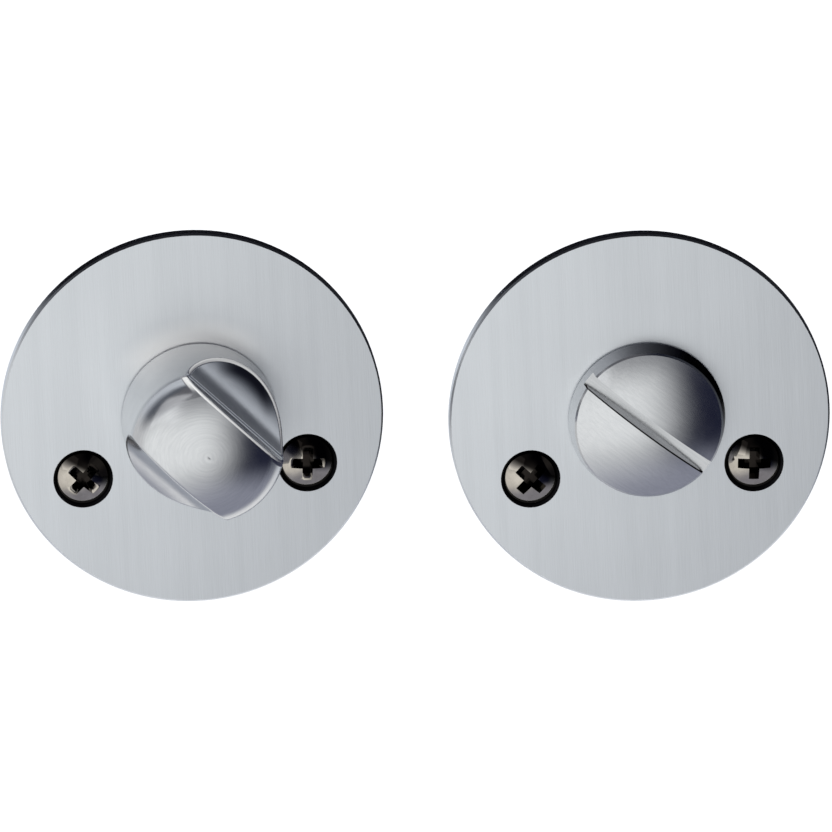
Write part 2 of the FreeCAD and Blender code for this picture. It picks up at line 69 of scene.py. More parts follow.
def screws_of(node):
    """The two screws' centres, from the box that holds both heads."""
    low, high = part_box(node)
    radius = (high.z - low.z) / 2
    middle = (low.z + high.z) / 2
    return Vector((low.x + radius, 0, middle)), Vector((high.x - radius, 0, middle))


# Read from the frame: the axes and centres of the two halves, and three levels along y.
TURN_AXIS = axis_of("inside_bush")
RELEASE_AXIS = axis_of("outside_bush")
ROSE_CENTRES = (axis_of("inside_rose"), axis_of("outside_rose"))
ROSE_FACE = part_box("inside_rose")[0].y
RELEASE_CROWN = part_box("release")[0].y
BOLT_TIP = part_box("inside_bolts")[1].y

# The photograph's view: from above and a little from the left, through a very long lens, with
# the camera turned a few degrees clockwise and aimed a little beside the middle of the set.
AZIMUTH = math.radians(-4)
ELEVATION = math.radians(16.4)
ROLL = math.radians(-3)
LENS = 800
SENSOR_WIDTH = 36
PHOTO_WIDTH_AT_OBJECT = 110.9 * MM
AIM_RIGHT = -0.06 * MM
AIM_UP = 0.32 * MM

# A pale floor well below the set, lifted towards white for the camera alone.
WHITE = (1, 1, 1, 1)
BLACK = (0, 0, 0, 1)
FLOOR_DROP = 0.16
FLOOR_SIZE = 6
FLOOR_COLOUR = (0.9, 0.9, 0.9, 1)
FLOOR_LIFT = 0.75

# What the metal sees of the studio: navy in front, with the other zones laid over it in turn.
STUDIO_NAVY = (0.012, 0.014, 0.035, 1)
STUDIO_TOP = (0.16, 0.16, 0.175, 1)
STUDIO_SIDE = (0.11, 0.12, 0.145, 1)
STUDIO_BACK = (0.70, 0.73, 0.78, 1)
STUDIO_FLOOR_NEAR = (0.34, 0.35, 0.42, 1)
STUDIO_LEFT = (0.75, 0.75, 0.75, 1)

# Where each zone begins and where it is full, by one part of the direction looked in: to the
# right, behind or above, each from -1 to 1, or level, which is behind with the height left out.
TOP_BY_ABOVE = (0.45, 0.65)
TOP_BY_RIGHT = (0.3, -0.1)
SIDE_BY_LEVEL = (-0.55, -0.25)
BACK_BY_LEVEL = (-0.1, 0.6)
WHITE_FLOOR_BY_BEHIND = (-0.1, 0.4)
FLOOR_BY_ABOVE = (-0.4, -0.75)
LEFT_BY_RIGHT = (-0.6, -0.85)
LEFT_BY_ABOVE = (0.45, 0.1)

# The big softbox that the metal sees: the level direction of its middle, the cosines at its soft
# right edge, its leaning upright, and the heights over which it fades at the top and the bottom.
SOFTBOX_MIDDLE = (-0.42, -0.91, 0)
SOFTBOX_SIDE = (0.50, 0.99)
SOFTBOX_UP = (-0.2, 0, 0.98)
SOFTBOX_TOP = (0.72, 0.10)
SOFTBOX_BOTTOM = (-0.88, -0.24)
SOFTBOX_TONE = (1.1, 1.11, 1.1, 1)

# A weak square lamp from the upper left, which lights the dull pieces.
KEY_PLACE = Vector((-0.9, -1.1, 0.9))
KEY_TARGET = Vector((0.03, 0, 0))
KEY_SIZE = 1.2
KEY_POWER = 2

# Noise lies mostly between these two values. With it, each finish runs from a dark tone to a light
# one and from one roughness to another.
NOISE = (0.3, 0.7)
ROSE_TONES = ((0.71, 0.738, 0.77, 1), (0.81, 0.84, 0.875, 1))
ROSE_ROUGHNESS = (0.35, 0.42)
TURNED_TONES = ((0.60, 0.612, 0.63, 1), (0.65, 0.66, 0.675, 1))
TURNED_ROUGHNESS = (0.18, 0.22)
NICKEL_TONES = ((0.46, 0.425, 0.375, 1), (0.54, 0.50, 0.445, 1))
NICKEL_ROUGHNESS = (0.06, 0.10)
NYLON_TONES = ((0.72, 0.71, 0.67, 1), (0.82, 0.81, 0.77, 1))
NYLON_ROUGHNESS = (0.42, 0.55)
WASHER_TONES = ((0.5, 0.5, 0.5, 1), (0.62, 0.62, 0.62, 1))
WASHER_ROUGHNESS = (0.28, 0.38)
SPRING_TONES = ((0.07, 0.07, 0.08, 1), (0.14, 0.14, 0.16, 1))
SPRING_ROUGHNESS = (0.35, 0.45)
ZINC_TONES = ((0.55, 0.54, 0.48, 1), (0.68, 0.67, 0.6, 1))
ZINC_ROUGHNESS = (0.3, 0.4)

# How squarely a surface faces the front, as its normal's part along y: -1 straight to the front,
# nought for a side and 1 for a back. A mask's pair of values here begins it and makes it full.
FRONT_FACE = -0.5
BACK_FACE = 0.5
SIDE_FACING = (-0.85, -0.72)
RECESS_FACING = (-0.6, -0.45)
HOLLOW_FACING = (-0.2, -0.4)
HOLLOW_RIM_FACING = (-0.05, -0.2)
GRIP_EDGE_FACING = (-0.05, -0.25)
SLOT_WALL_FACING = (-0.5, -0.3)

# The roses: strokes drawn out from top to bottom, and the shares of lines, bands and clouds in
# them. Each rose is very slightly crowned in its shading, and painted shade makes its countersinks
# dark inside.
STROKE_SQUEEZE = (1, 1, 0.02)
LINES_SHARE = 0.6
BANDS_SHARE = 0.25
CLOUDS_SHARE = 0.15
CROWN_RADIUS = 480 * MM
COUNTERSINK_RADIUS = 4.05 * MM
COUNTERSINK_START = 0.02 * MM
COUNTERSINK_SHADE = (0.012, 0.012, 0.014, 1)

# A painted highlight makes a rose brighter just above the turn, between these two distances from
# the turn's axis, and within a bearing about straight up, by the cosines at which it begins and is
# full. The same painted highlight brightens the turn's edges.
PAINTED_HIGHLIGHT = (1, 1, 1, 1)
HIGHLIGHT_RADIUS = (14.5 * MM, 10.6 * MM)
HIGHLIGHT_TOWARD = (-0.05, 0, 1)
HIGHLIGHT_BEARING = (0.5, 0.95)

# Painted shade darkens the sides of the roses and of the release where they face up and to the
# right, by the cosines given. Their edge tint is black, so that at a grazing view they look black.
ROSE_SIDE_SHADE = (0.08, 0.08, 0.09, 1)
ROSE_SIDE_RADIUS = 25.2 * MM
ROSE_SIDE_TOWARD = (0.5, 0, 0.87)
ROSE_SIDE_BEARING = (-0.1, 0.4)
RELEASE_SIDE_SHADE = (0.09, 0.09, 0.1, 1)
RELEASE_SIDE_RADIUS = 9.6 * MM
RELEASE_SIDE_TOWARD = (0.77, 0, 0.64)
RELEASE_SIDE_BEARING = (0.1, 1.0)

# The screw heads' domes catch the light as if a little rounder. Painted shade makes their recesses
# black, and the plating to the upper right of the middle too. The heads end just in front of the
# roses' backs.
HEAD_ROUNDING = 14 * MM
HEAD_END = -0.1 * MM
HEAD_SHADE = (0.02, 0.017, 0.015, 1)
RECESS_DEPTH = 0.7 * MM
HEAD_SHADE_TOWARD = (0.5, 0, 0.87)
HEAD_SHADE_REACH = (0.2 * MM, 1.6 * MM)

# The turn's rings are rounded off at its axis and a little uneven.
RING_EASE = 1 * MM
RING_WOBBLE = 0.15

# The grip leans this far. Its upper edge, by its distance from the axis to the upper right, has a
# painted highlight, where the piece's own surface leans that way.
GRIP_ANGLE = math.radians(46)
GRIP_SIDE = (math.sin(GRIP_ANGLE), 0, math.cos(GRIP_ANGLE))
GRIP_EDGE_START = (4.7 * MM, 4.9 * MM)
GRIP_EDGE_END = (5.75 * MM, 5.55 * MM)
GRIP_EDGE_LEAN = (0.28, 0.5)

# The hollow beside it, past this distance, has painted shade towards its outer end and a painted
# highlight along its rim.
HOLLOW_FROM = 5.65 * MM
HOLLOW_SHADE_TONE = (0.05, 0.05, 0.07, 1)
HOLLOW_RADIUS = (8.0 * MM, 9.5 * MM)
HOLLOW_BEARING = (0.82, 0.98)
HOLLOW_RIM = (9.95 * MM, 10.1 * MM)

# How strongly the bright edges are leaned towards the front, to catch the softbox.
EDGE_CATCH = -3

# The release's grain follows its slot, which leans this far from level. Painted shade darkens the
# slot's walls at the lip, by their depth below the dome, which falls away with the square of the
# radius.
SLOT_ANGLE = math.radians(41)
GRAIN_LENGTH = 18
SLOT_WALL_SHADE = (0.06, 0.06, 0.07, 1)
SLOT_LIP = (1.5 * MM, 0.8 * MM)
DOME_RADIUS = 9.95 * MM
DOME_FALL = 2 * MM

# The inside bolts: M4 threads behind a short plain neck, down to a chamfered tip. The profile of
# one pitch gives each corner's radius and how far along the pitch it lies.
NECK_LENGTH = 3 * MM
NECK_CHAMFER = 0.25 * MM
THREAD_PITCH = 0.7 * MM
THREAD_STEPS = 24
CREST = 1.96 * MM
ROOT = 1.58 * MM
THREAD_PROFILE = ((ROOT, 0), (ROOT, 0.25), (CREST, 0.56), (CREST, 0.69), (ROOT, 1))
TIP_RADIUS = 1.5 * MM
MERGE_DISTANCE = 0.002 * MM
LEVEL_TOLERANCE = 0.001 * MM
SHARP_ANGLE = math.radians(28)


class Nodes:
    """Short way to add and join shader nodes in one tree."""

    def __init__(self, tree):
        self.tree = tree
        tree.nodes.clear()

    def add(self, kind, **settings):
        node = self.tree.nodes.new(kind)
        for name, setting in settings.items():
            setattr(node, name, setting)
        return node

    def link(self, output, socket):
        self.tree.links.new(output, socket)

    def feed(self, socket, what):
        """Give a socket a value or another node's output."""
        if isinstance(what, bpy.types.NodeSocket):
            self.link(what, socket)
        else:
            socket.default_value = what

    def place(self):
        """The point on the object, in metres."""
        return self.add("ShaderNodeTexCoord").outputs["Object"]

    def normal(self):
        """Which way the surface faces."""
        return self.add("ShaderNodeNewGeometry").outputs["Normal"]

    def own_normal(self):
        """Which way the surface faces on the piece itself, however the piece is turned."""
        return self.add("ShaderNodeTexCoord").outputs["Normal"]

    def split(self, vector):
        """The x, y and z of a vector."""
        node = self.add("ShaderNodeSeparateXYZ")
        self.link(vector, node.inputs[0])
        return node.outputs[:3]

    def join(self, x=0.0, y=0.0):
        """A vector of an x and a y."""
        node = self.add("ShaderNodeCombineXYZ")
        self.feed(node.inputs[0], x)
        self.feed(node.inputs[1], y)
        return node.outputs[0]

    def maths(self, operation, first, second=None):
        node = self.add("ShaderNodeMath", operation=operation)
        self.feed(node.inputs[0], first)
        if second is not None:
            self.feed(node.inputs[1], second)
        return node.outputs[0]

    def product(self, first, *others):
        """Several masks multiplied together."""
        for other in others:
            first = self.maths("MULTIPLY", first, other)
        return first

    def vector(self, operation, first, second=None):
        node = self.add("ShaderNodeVectorMath", operation=operation)
        self.feed(node.inputs[0], first)
        if second is not None:
            self.feed(node.inputs[1], second)
        return node.outputs["Value" if operation in ("DOT_PRODUCT", "LENGTH") else "Vector"]

    def spread(self, what, low, high, to_low=0.0, to_high=1.0):
        """Map a value from one range to another, with soft ends."""
        node = self.add("ShaderNodeMapRange", interpolation_type="SMOOTHSTEP")
        self.feed(node.inputs["Value"], what)
        node.inputs["From Min"].default_value = low
        node.inputs["From Max"].default_value = high
        node.inputs["To Min"].default_value = to_low
        node.inputs["To Max"].default_value = to_high
        return node.outputs["Result"]

    def noise(self, where, scale, detail, roughness):
        node = self.add("ShaderNodeTexNoise")
        self.feed(node.inputs["Vector"], where)
        node.inputs["Scale"].default_value = scale
        node.inputs["Detail"].default_value = detail
        node.inputs["Roughness"].default_value = roughness
        return node.outputs["Fac"]

    def blend(self, factor, first, second):
        """Mix of two colours."""
        node = self.add("ShaderNodeMix", data_type="RGBA")
        self.feed(node.inputs[0], factor)
        self.feed(node.inputs[6], first)
        self.feed(node.inputs[7], second)
        return node.outputs[2]

    def tone(self, noise, tones):
        """Colour that runs between two tones with the noise."""
        return self.blend(self.spread(noise, *NOISE), *tones)


def new_material(name):
    material = bpy.data.materials.new(name)
    material.use_nodes = True
    nodes = Nodes(material.node_tree)
    shader = nodes.add("ShaderNodeBsdfPrincipled")
    output = nodes.add("ShaderNodeOutputMaterial")
    nodes.link(shader.outputs[0], output.inputs[0])
    return material, nodes, shader


def bump(nodes, shader, height, strength, distance):
    """Fine relief; the normal that it starts from can be linked to it later."""
    node = nodes.add("ShaderNodeBump")
    node.inputs["Strength"].default_value = strength
    node.inputs["Distance"].default_value = distance
    nodes.link(height, node.inputs["Height"])
    nodes.link(node.outputs[0], shader.inputs["Normal"])
    return node


def roughen(nodes, shader, noise, roughness):
    """Roughness that runs between two values with the noise."""
    nodes.link(nodes.spread(noise, *NOISE, *roughness), shader.inputs["Roughness"])


def flat_offset(nodes, place, centre):
    """Where a point lies from a centre, seen straight on from the front."""
    return nodes.vector("MULTIPLY", nodes.vector("SUBTRACT", place, centre), (1, 0, 1))


def flat_radius(nodes, place, centre):
    """How far a point lies from a centre, seen straight on from the front."""
    return nodes.vector("LENGTH", flat_offset(nodes, place, centre))


def screw_offset(nodes, place, screws):
    """Where a point lies from the nearer screw's centre, seen straight on from the front."""
    halfway = (screws[0].x + screws[1].x) / 2
    nearer = nodes.add("ShaderNodeMix", data_type="VECTOR")
    nodes.link(nodes.maths("GREATER_THAN", nodes.split(place)[0], halfway), nearer.inputs[0])
    nearer.inputs[4].default_value = screws[0]
    nearer.inputs[5].default_value = screws[1]
    return flat_offset(nodes, place, nearer.outputs[1])


def facing_front(nodes):
    """How a surface faces: -1 straight to the front, nought for a side and 1 for a back."""
    return nodes.split(nodes.normal())[1]


def crowned(nodes, out, rounding):
    """The surface's normal, leaned outwards with the distance from a centre."""
    lean = nodes.vector("MULTIPLY", out, (1 / rounding, 1 / rounding, 1 / rounding))
    return nodes.vector("NORMALIZE", nodes.vector("ADD", nodes.normal(), lean))


def painted_side_shade(nodes, radius, least_radius, toward, bearing):
    """Painted shade mask: one on a round piece's side where it faces up and to the right, fading to
    nought.
    """
    outer = nodes.maths("GREATER_THAN", radius, least_radius)
    steep = nodes.spread(facing_front(nodes), *SIDE_FACING)
    upward = nodes.spread(nodes.vector("DOT_PRODUCT", nodes.normal(), toward), *bearing)
    return nodes.product(steep, outer, upward)


def tint_edge(nodes, shader, dark):
    """Metal whose grazing reflection turns black where the mask is one."""
    nodes.link(nodes.blend(dark, WHITE, BLACK), shader.inputs["Specular Tint"])


def highlight_above_turn(nodes, place):
    """Painted highlight mask: one close above the turn on a rose's face, fading to nought outwards
    and to either side.
    """
    out = flat_offset(nodes, place, TURN_AXIS)
    near = nodes.spread(nodes.vector("LENGTH", out), *HIGHLIGHT_RADIUS)
    in_front = nodes.maths("LESS_THAN", facing_front(nodes), FRONT_FACE)
    toward = nodes.vector("DOT_PRODUCT", nodes.vector("NORMALIZE", out), HIGHLIGHT_TOWARD)
    return nodes.product(near, in_front, nodes.spread(toward, *HIGHLIGHT_BEARING))


def countersink_shade(nodes, place, screws):
    """Painted shade mask: one inside the countersinks, below the rose's face, and nought elsewhere.
    """
    from_screw = nodes.vector("LENGTH", screw_offset(nodes, place, screws))
    inside = nodes.maths("LESS_THAN", from_screw, COUNTERSINK_RADIUS)
    below = nodes.maths("GREATER_THAN", nodes.split(place)[1], ROSE_FACE + COUNTERSINK_START)
    not_back = nodes.maths("LESS_THAN", facing_front(nodes), BACK_FACE)
    return nodes.product(inside, below, not_back)


def brushed_rose(name, centre, screws):
    """Satin stainless plate with fine straight brushing from top to bottom, painted shade in the
    countersinks and on the upper right side, and a painted highlight above the turn.
    """
    material, nodes, shader = new_material(name)
    place = nodes.place()
    strokes = nodes.add("ShaderNodeMapping")
    nodes.link(place, strokes.inputs[0])
    strokes.inputs["Scale"].default_value = STROKE_SQUEEZE
    lines = nodes.noise(strokes.outputs[0], scale=9000, detail=2, roughness=0.6)
    bands = nodes.noise(strokes.outputs[0], scale=700, detail=2, roughness=0.5)
    clouds = nodes.noise(place, scale=90, detail=2, roughness=0.5)
    mixed = nodes.maths("MULTIPLY", lines, LINES_SHARE)
    mixed = nodes.maths("ADD", mixed, nodes.maths("MULTIPLY", bands, BANDS_SHARE))
    mixed = nodes.maths("ADD", mixed, nodes.maths("MULTIPLY", clouds, CLOUDS_SHARE))
    # Painted highlight on the rose just above the turn.
    satin = nodes.blend(highlight_above_turn(nodes, place), nodes.tone(mixed, ROSE_TONES), PAINTED_HIGHLIGHT)
    radius = flat_radius(nodes, place, centre)
    # Painted shade on the rose's side facing up and to the right, with a black edge tint.
    dark = painted_side_shade(nodes, radius, ROSE_SIDE_RADIUS, ROSE_SIDE_TOWARD, ROSE_SIDE_BEARING)
    satin = nodes.blend(dark, satin, ROSE_SIDE_SHADE)
    tint_edge(nodes, shader, dark)
    # Painted shade in the countersinks.
    satin = nodes.blend(countersink_shade(nodes, place, screws), satin, COUNTERSINK_SHADE)
    nodes.link(satin, shader.inputs["Base Color"])
    shader.inputs["Metallic"].default_value = 1
    shader.inputs["Anisotropic"].default_value = 0.5
    roughen(nodes, shader, lines, ROSE_ROUGHNESS)
    nodes.link(nodes.join(x=1), shader.inputs["Tangent"])
    relief = bump(nodes, shader, mixed, strength=0.08, distance=0.02 * MM)
    out = flat_offset(nodes, place, centre)
    nodes.link(crowned(nodes, out, CROWN_RADIUS), relief.inputs["Normal"])
    return material


def finish_satin(nodes, shader, marks, relief_strength):
    """Colour, roughness and fine relief that the turn and the release share."""
    colour = nodes.tone(marks, TURNED_TONES)
    shader.inputs["Metallic"].default_value = 1
    shader.inputs["Anisotropic"].default_value = 0.2
    clouds = nodes.noise(nodes.place(), scale=260, detail=2, roughness=0.5)
    roughen(nodes, shader, clouds, TURNED_ROUGHNESS)
    return colour, bump(nodes, shader, marks, relief_strength, distance=0.02 * MM)


def turning_marks(nodes, out, radius):
    """Faint rings about the turn's axis, a little uneven."""
    rounded = nodes.maths("ADD", nodes.maths("MULTIPLY", radius, radius), RING_EASE ** 2)
    rings = nodes.join(x=nodes.maths("SQRT", rounded), y=nodes.split(out)[1])
    wobble = nodes.vector("MULTIPLY", out, (RING_WOBBLE, RING_WOBBLE, RING_WOBBLE))
    uneven = nodes.vector("ADD", rings, wobble)
    return nodes.noise(uneven, scale=4500, detail=3, roughness=0.6)


def hollow_shade(nodes, out, radius, across, facing):
    """Painted shade mask: one in the upper hollow towards its outer end, fading to nought inwards.
    """
    bearing = nodes.vector("NORMALIZE", nodes.vector("MULTIPLY", out, (1, 0, 1)))
    return nodes.product(
        nodes.maths("GREATER_THAN", across, HOLLOW_FROM),
        nodes.spread(facing, *HOLLOW_FACING),
        nodes.spread(radius, *HOLLOW_RADIUS),
        nodes.spread(nodes.vector("DOT_PRODUCT", bearing, GRIP_SIDE), *HOLLOW_BEARING),
    )


def hollow_rim_highlight(nodes, radius, across, facing):
    """Painted highlight mask: one along the upper hollow's outer rim."""
    return nodes.product(
        nodes.maths("GREATER_THAN", across, HOLLOW_FROM),
        nodes.spread(radius, *HOLLOW_RIM),
        nodes.spread(facing, *HOLLOW_RIM_FACING),
    )


def grip_edge_highlight(nodes, across, facing):
    """Painted highlight mask: one along the grip's upper edge."""
    lean = nodes.vector("DOT_PRODUCT", nodes.own_normal(), GRIP_SIDE)
    return nodes.product(
        nodes.spread(across, *GRIP_EDGE_START),
        nodes.spread(across, *GRIP_EDGE_END),
        nodes.spread(lean, *GRIP_EDGE_LEAN),
        nodes.spread(facing, *GRIP_EDGE_FACING),
    )


def turned_steel():
    """Satin stainless turned on a lathe, with painted shade in one hollow and painted highlights on
    its edges.
    """
    material, nodes, shader = new_material("turn_turned")
    place = nodes.place()
    out = nodes.vector("SUBTRACT", place, TURN_AXIS)
    radius = flat_radius(nodes, place, TURN_AXIS)
    across = nodes.vector("DOT_PRODUCT", out, GRIP_SIDE)
    facing = facing_front(nodes)
    colour, relief = finish_satin(nodes, shader, turning_marks(nodes, out, radius), 0.02)
    # Painted shade in the upper hollow.
    shade = hollow_shade(nodes, out, radius, across, facing)
    colour = nodes.blend(shade, colour, HOLLOW_SHADE_TONE)
    # Painted highlights on the hollow's rim and the grip's upper edge.
    rim = hollow_rim_highlight(nodes, radius, across, facing)
    edge = nodes.maths("MAXIMUM", grip_edge_highlight(nodes, across, facing), rim)
    nodes.link(nodes.blend(edge, colour, PAINTED_HIGHLIGHT), shader.inputs["Base Color"])
    to_front = nodes.join(y=nodes.maths("MULTIPLY", edge, EDGE_CATCH))
    caught = nodes.vector("NORMALIZE", nodes.vector("ADD", nodes.normal(), to_front))
    nodes.link(caught, relief.inputs["Normal"])
    return material


def slot_lip_shade(nodes, place, radius):
    """Painted shade mask: one on the slot's walls at their lip, fading to nought deeper down."""
    inner = nodes.maths("LESS_THAN", radius, RELEASE_SIDE_RADIUS)
    wall = nodes.spread(facing_front(nodes), *SLOT_WALL_FACING)
    squared = nodes.maths("MULTIPLY", radius, radius)
    fall = nodes.maths("MULTIPLY", squared, DOME_FALL / DOME_RADIUS ** 2)
    below_crown = nodes.maths("SUBTRACT", nodes.split(place)[1], RELEASE_CROWN)
    depth = nodes.maths("SUBTRACT", below_crown, fall)
    return nodes.product(wall, inner, nodes.spread(depth, *SLOT_LIP))


def grained_steel():
    """Satin stainless brushed along the coin slot, with painted shade on the slot's walls at the lip
    and on the side to the upper right.
    """
    material, nodes, shader = new_material("release_grained")
    place = nodes.place()
    grain = nodes.add("ShaderNodeMapping", vector_type="TEXTURE")
    nodes.link(place, grain.inputs[0])
    grain.inputs["Rotation"].default_value = (0, SLOT_ANGLE, 0)
    grain.inputs["Scale"].default_value = (GRAIN_LENGTH, 1, 1)
    marks = nodes.noise(grain.outputs[0], scale=3800, detail=3, roughness=0.6)
    colour = finish_satin(nodes, shader, marks, 0.03)[0]
    radius = flat_radius(nodes, place, RELEASE_AXIS)
    # Painted shade on the slot's walls at the lip.
    wall = slot_lip_shade(nodes, place, radius)
    colour = nodes.blend(wall, colour, SLOT_WALL_SHADE)
    # Painted shade on the release's side facing up and to the right, with a black edge tint.
    side = painted_side_shade(
        nodes, radius, RELEASE_SIDE_RADIUS, RELEASE_SIDE_TOWARD, RELEASE_SIDE_BEARING
    )
    nodes.link(nodes.blend(side, colour, RELEASE_SIDE_SHADE), shader.inputs["Base Color"])
    tint_edge(nodes, shader, nodes.maths("MAXIMUM", wall, side))
    return material


def dark_nickel(name, screws):
    """Polished dark plating, with painted shade making the heads' recesses and the upper right of
    each head black.
    """
    material, nodes, shader = new_material(name)
    place = nodes.place()
    along = nodes.split(place)[1]
    clouds = nodes.noise(place, scale=900, detail=3, roughness=0.6)
    # Painted shade in the recesses and on the upper right of each head.
    steep = nodes.spread(facing_front(nodes), *RECESS_FACING)
    deep = nodes.maths("GREATER_THAN", along, ROSE_FACE + RECESS_DEPTH)
    out = screw_offset(nodes, place, screws)
    upper_right_shade = nodes.spread(nodes.vector("DOT_PRODUCT", out, HEAD_SHADE_TOWARD), *HEAD_SHADE_REACH)
    black = nodes.maths("MAXIMUM", nodes.maths("MAXIMUM", steep, deep), upper_right_shade)
    black = nodes.product(black, nodes.maths("LESS_THAN", along, HEAD_END))
    plating = nodes.tone(clouds, NICKEL_TONES)
    nodes.link(nodes.blend(black, plating, HEAD_SHADE), shader.inputs["Base Color"])
    shader.inputs["Metallic"].default_value = 1
    roughen(nodes, shader, clouds, NICKEL_ROUGHNESS)
    relief = bump(nodes, shader, clouds, strength=0.05, distance=0.01 * MM)
    nodes.link(crowned(nodes, out, HEAD_ROUNDING), relief.inputs["Normal"])
    return material


def plain_metal(name, tones, roughness, scale=1400):
    """Metal with a fine cloudy grain, for the pieces behind the roses."""
    material, nodes, shader = new_material(name)
    clouds = nodes.noise(nodes.place(), scale, detail=4, roughness=0.6)
    nodes.link(nodes.tone(clouds, tones), shader.inputs["Base Color"])
    shader.inputs["Metallic"].default_value = 1
    roughen(nodes, shader, clouds, roughness)
    bump(nodes, shader, clouds, strength=0.08, distance=0.01 * MM)
    return material


def white_nylon():
    """Moulded white nylon, slightly waxy."""
    material, nodes, shader = new_material("bush_nylon")
    clouds = nodes.noise(nodes.place(), scale=700, detail=3, roughness=0.5)
    nodes.link(nodes.tone(clouds, NYLON_TONES), shader.inputs["Base Color"])
    roughen(nodes, shader, clouds, NYLON_ROUGHNESS)
    bump(nodes, shader, clouds, strength=0.1, distance=0.01 * MM)
    return material


def finish_nodes():
    """Give every carried-over piece its finish."""
    nylon = white_nylon()
    washer = plain_metal("washer_steel", WASHER_TONES, WASHER_ROUGHNESS)
    spring = plain_metal("spring_blackened", SPRING_TONES, SPRING_ROUGHNESS)
    zinc = plain_metal("bar_zinc", ZINC_TONES, ZINC_ROUGHNESS, scale=500)
    inside_screws = screws_of("inside_bolts")
    outside_screws = screws_of("outside_sleeves")
    finishes = {
        "inside_rose": brushed_rose("inside_rose_brushed", ROSE_CENTRES[0], inside_screws),
        "outside_rose": brushed_rose("outside_rose_brushed", ROSE_CENTRES[1], outside_screws),
        "thumb_turn": turned_steel(),
        "release": grained_steel(),
        "inside_bush": nylon,
        "outside_bush": nylon,
        "inside_washer": washer,
        "outside_washer": washer,
        "inside_disc_spring": spring,
        "outside_disc_spring": spring,
        "inside_retaining_ring": spring,
        "outside_retaining_ring": spring,
        "spindle": zinc,
        "spindle_pin": zinc,
        "outside_sleeves": dark_nickel("outside_sleeves_nickel", outside_screws),
    }
    for name, material in finishes.items():
        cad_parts[name].material_slots[0].material = material


def open_edges(shape):
    return [edge for edge in shape.edges if edge.is_boundary]


def open_width(shape):
    """Width across one of the open rings that the shanks leave."""
    levels = [vert.co.z for edge in open_edges(shape) for vert in edge.verts]
    return max(levels) - min(levels)


def add_neck(shape, screws):
    """Plain neck on each open end of the bolts' heads, closed behind its small chamfer."""
    width = open_width(shape)
    chamfered = (width - 2 * NECK_CHAMFER) / width
    for reach, narrowing in ((NECK_LENGTH - NECK_CHAMFER, 1), (NECK_LENGTH, chamfered)):
        grown = bmesh.ops.extrude_edge_only(shape, edges=open_edges(shape))["geom"]
        ring = [item for item in grown if isinstance(item, bmesh.types.BMVert)]
        for vert in ring:
            centre = min(screws, key=lambda screw: abs(screw.x - vert.co.x))
            vert.co = centre + (vert.co - centre) * narrowing
            vert.co.y = reach
    bmesh.ops.holes_fill(shape, edges=open_edges(shape))


def spin_turn(thread, centre, start):
    """One turn of thread: the profile spun once round the bolt, moving on by its pitch."""
    corners = [
        thread.verts.new((centre.x + radius, start + along * THREAD_PITCH, centre.z))
        for radius, along in THREAD_PROFILE
    ]
    for first, second in zip(corners, corners[1:]):
        thread.edges.new((first, second))
    bmesh.ops.spin(
        thread,
        geom=thread.verts[:] + thread.edges[:],
        cent=centre,
        axis=(0, 1, 0),
        dvec=(0, THREAD_PITCH / THREAD_STEPS, 0),
        angle=2 * math.pi,
        steps=THREAD_STEPS,
        use_merge=False,
    )


def repeat_turn(thread, turns):
    """Copies of the first turn, each a pitch further on, all joined up."""
    first_turn = thread.verts[:] + thread.edges[:] + thread.faces[:]
    for number in range(1, turns):
        copied = bmesh.ops.duplicate(thread, geom=first_turn)["geom"]
        moved = [item for item in copied if isinstance(item, bmesh.types.BMVert)]
        bmesh.ops.translate(thread, verts=moved, vec=(0, number * THREAD_PITCH, 0))
    bmesh.ops.remove_doubles(thread, verts=thread.verts, dist=MERGE_DISTANCE)


def chamfer_tip(thread, centre):
    """Narrow the thread at 45 degrees towards the bolt's tip."""
    for vert in thread.verts:
        out = Vector((vert.co.x - centre.x, 0, vert.co.z - centre.z))
        widest = TIP_RADIUS + max(BOLT_TIP - vert.co.y, 0)
        if out.length > widest:
            out *= widest / out.length
            vert.co.x = centre.x + out.x
            vert.co.z = centre.z + out.z


def cut_off(thread, level, beyond):
    """Cut at a level along y, take away what lies beyond it or else before it, and close it."""
    bmesh.ops.bisect_plane(
        thread,
        geom=thread.verts[:] + thread.edges[:] + thread.faces[:],
        plane_co=(0, level, 0),
        plane_no=(0, 1, 0),
        clear_outer=beyond,
        clear_inner=not beyond,
    )
    flat = []
    for edge in open_edges(thread):
        if all(abs(vert.co.y - level) < LEVEL_TOLERANCE for vert in edge.verts):
            flat.append(edge)
    bmesh.ops.holes_fill(thread, edges=flat)


def add_thread(shape, centre):
    """Threaded length of one bolt, from inside its neck to its tip."""
    thread = bmesh.new()
    start = NECK_LENGTH - 2 * THREAD_PITCH
    spin_turn(thread, centre, start)
    repeat_turn(thread, math.ceil((BOLT_TIP - start) / THREAD_PITCH) + 1)
    chamfer_tip(thread, centre)
    cut_off(thread, BOLT_TIP, True)
    cut_off(thread, NECK_LENGTH - THREAD_PITCH, False)
    bmesh.ops.recalc_face_normals(thread, faces=thread.faces)
    part = bpy.data.meshes.new("thread")
    thread.to_mesh(part)
    thread.free()
    shape.from_mesh(part)
    bpy.data.meshes.remove(part)


